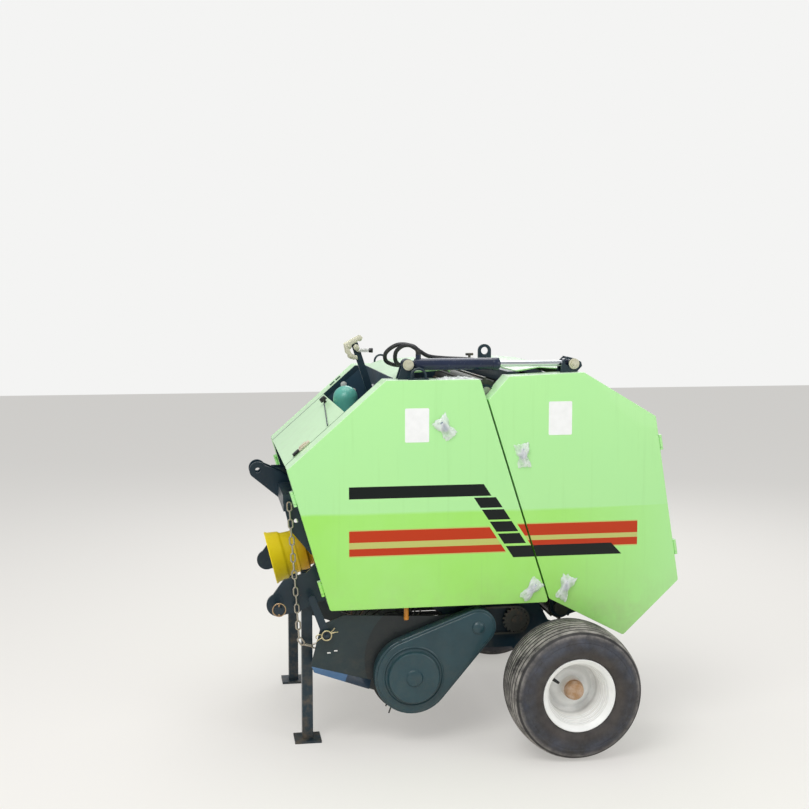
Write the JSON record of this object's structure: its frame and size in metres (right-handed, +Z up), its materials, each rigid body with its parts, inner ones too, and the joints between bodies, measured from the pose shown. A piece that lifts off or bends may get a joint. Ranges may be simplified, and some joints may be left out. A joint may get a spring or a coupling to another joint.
{
  "type": "round baler",
  "caption": "Three-point mounted mini round baler with roller chamber, lifting tailgate, pick-up reel, side doors, two wheels and parking legs.",
  "frame": {"origin": "on the ground at the middle of the machine's length and width", "axes": "+X forward along the direction of travel, to the hitch; +Y to the machine's left; +Z up"},
  "size_m": [1.437, 1.388, 1.3655],
  "materials": {
    "panel_green": "pale light-green gloss paint on sheet steel, dusty",
    "frame_dark": "near-black blue-green paint on steel plate and tube",
    "case_dark": "dark bluish-green paint on pressed and cast housings",
    "bare_steel": "machined, rolled or galvanised steel",
    "cylinder_black": "blue-black paint on a hydraulic barrel",
    "zinc_steel": "yellow zinc-plated steel",
    "tyre": "dusty ribbed rubber",
    "rim_silver": "silver-white painted wheel disc",
    "guard_yellow": "moulded yellow plastic guard",
    "hose_rubber": "black hydraulic hose",
    "canister_plastic": "turquoise-green moulded canister",
    "box_dark": "dark blue-black paint inside the twine compartment"
  },
  "bodies": {
    "frame": {"front_side_plates": "frame_dark", "cross_members": "frame_dark", "axle_beam": "frame_dark", "hitch_mast": "frame_dark", "lower_hitch_plates": "frame_dark", "gearbox": "case_dark", "shaft_guard": "guard_yellow", "front_rollers": "bare_steel", "front_cabinet_left": "panel_green", "front_cabinet_right": "panel_green", "front_drive": "bare_steel", "twine_box": "box_dark", "twine_canister": "canister_plastic", "twine_tensioner": "zinc_steel", "tensioner_post": "frame_dark", "front_deck": "panel_green", "hoses": "hose_rubber", "lift_chain": "zinc_steel", "pivot_pins": "bare_steel", "top_brackets": "frame_dark"},
    "wheel_left": {"wheel_tyre_left": "tyre", "wheel_rim_left": "rim_silver"},
    "wheel_right": {"wheel_tyre_right": "tyre", "wheel_rim_right": "rim_silver"},
    "shaft": {"input_shaft": "bare_steel"},
    "tailgate": {"gate_side_plates": "frame_dark", "gate_rollers": "bare_steel", "gate_cross_members": "frame_dark", "gate_deck": "panel_green", "gate_cabinet_left": "panel_green", "gate_cabinet_right": "panel_green", "gate_drive": "bare_steel"},
    "barrel": {"cylinder_barrel": "cylinder_black"},
    "rod": {"cylinder_rod": "bare_steel"},
    "pickup": {"pickup_side_plates": "case_dark", "pickup_bands": "bare_steel", "pickup_chain_case": "case_dark", "pickup_strut": "frame_dark"},
    "reel": {"pickup_reel": "bare_steel"},
    "hood": {"hood": "panel_green"},
    "front_door_left": {"door_front_left": "panel_green"},
    "front_door_right": {"door_front_right": "panel_green"},
    "gate_door_left": {"door_gate_left": "panel_green"},
    "gate_door_right": {"door_gate_right": "panel_green"},
    "leg_left": {"parking_leg_left": "frame_dark"},
    "leg_right": {"parking_leg_right": "frame_dark"}
  },
  "joints": [
    {"name": "wheel_left_spin", "type": "hinge", "parent": "frame", "child": "wheel_left", "pos_m": [-0.3095, 0.5865, 0.221], "axis": [0, 1, 0], "continuous": true},
    {"name": "wheel_right_spin", "type": "hinge", "parent": "frame", "child": "wheel_right", "pos_m": [-0.3095, -0.5865, 0.221], "axis": [0, 1, 0], "continuous": true},
    {"name": "input_shaft_spin", "type": "hinge", "parent": "frame", "child": "shaft", "pos_m": [0.4865, 0, 0.5935], "axis": [1, 0, 0], "continuous": true},
    {"name": "tailgate_lift", "type": "hinge", "parent": "frame", "child": "tailgate", "pos_m": [-0.06435, 0, 1.18476], "axis": [0, 1, 0], "range_deg": [0, 70], "deforming": ["hoses"]},
    {"name": "cylinder_tilt", "type": "hinge", "parent": "frame", "child": "barrel", "pos_m": [0.2095, 0.392, 1.2815], "axis": [0, 1, 0], "range_deg": [0, 36.2]},
    {"name": "cylinder_stroke", "type": "slide", "parent": "barrel", "child": "rod", "axis": [1, 0, 0.0018], "range_m": [0, 0.211]},
    {"name": "pickup_lift", "type": "hinge", "parent": "frame", "child": "pickup", "pos_m": [-0.0225, 0, 0.4005], "axis": [0, 1, 0], "range_deg": [0, 5], "deforming": ["lift_chain"]},
    {"name": "pickup_reel_spin", "type": "hinge", "parent": "pickup", "child": "reel", "pos_m": [0.1985, 0, 0.2445], "axis": [0, 1, 0], "continuous": true},
    {"name": "hood_hinge", "type": "hinge", "parent": "frame", "child": "hood", "pos_m": [0.59756, 0, 0.94647], "axis": [0, 1, 0], "range_deg": [0, 95]},
    {"name": "front_door_left_hinge", "type": "hinge", "parent": "frame", "child": "front_door_left", "pos_m": [0.55221, 0.463, 0.71152], "axis": [0.2828, 0, 0.9592], "range_deg": [-100, 0]},
    {"name": "front_door_right_hinge", "type": "hinge", "parent": "frame", "child": "front_door_right", "pos_m": [0.55221, -0.463, 0.71152], "axis": [0.2828, 0, 0.9592], "range_deg": [0, 100]},
    {"name": "gate_door_left_hinge", "type": "hinge", "parent": "tailgate", "child": "gate_door_left", "pos_m": [-0.68041, 0.463, 0.8226], "axis": [0.1576, 0, 0.9875], "range_deg": [0, 100]},
    {"name": "gate_door_right_hinge", "type": "hinge", "parent": "tailgate", "child": "gate_door_right", "pos_m": [-0.68041, -0.463, 0.8226], "axis": [0.1576, 0, 0.9875], "range_deg": [-100, 0]},
    {"name": "leg_left_slide", "type": "slide", "parent": "frame", "child": "leg_left", "axis": [0, 0, 1], "range_m": [0, 0.22]},
    {"name": "leg_right_slide", "type": "slide", "parent": "frame", "child": "leg_right", "axis": [0, 0, 1], "range_m": [0, 0.22]}
  ],
  "couplings": [
    {"joint": "cylinder_tilt", "follows": "tailgate_lift", "ratio": 0.515},
    {"joint": "cylinder_stroke", "follows": "tailgate_lift", "m_per_rad": 0.172}
  ]
}
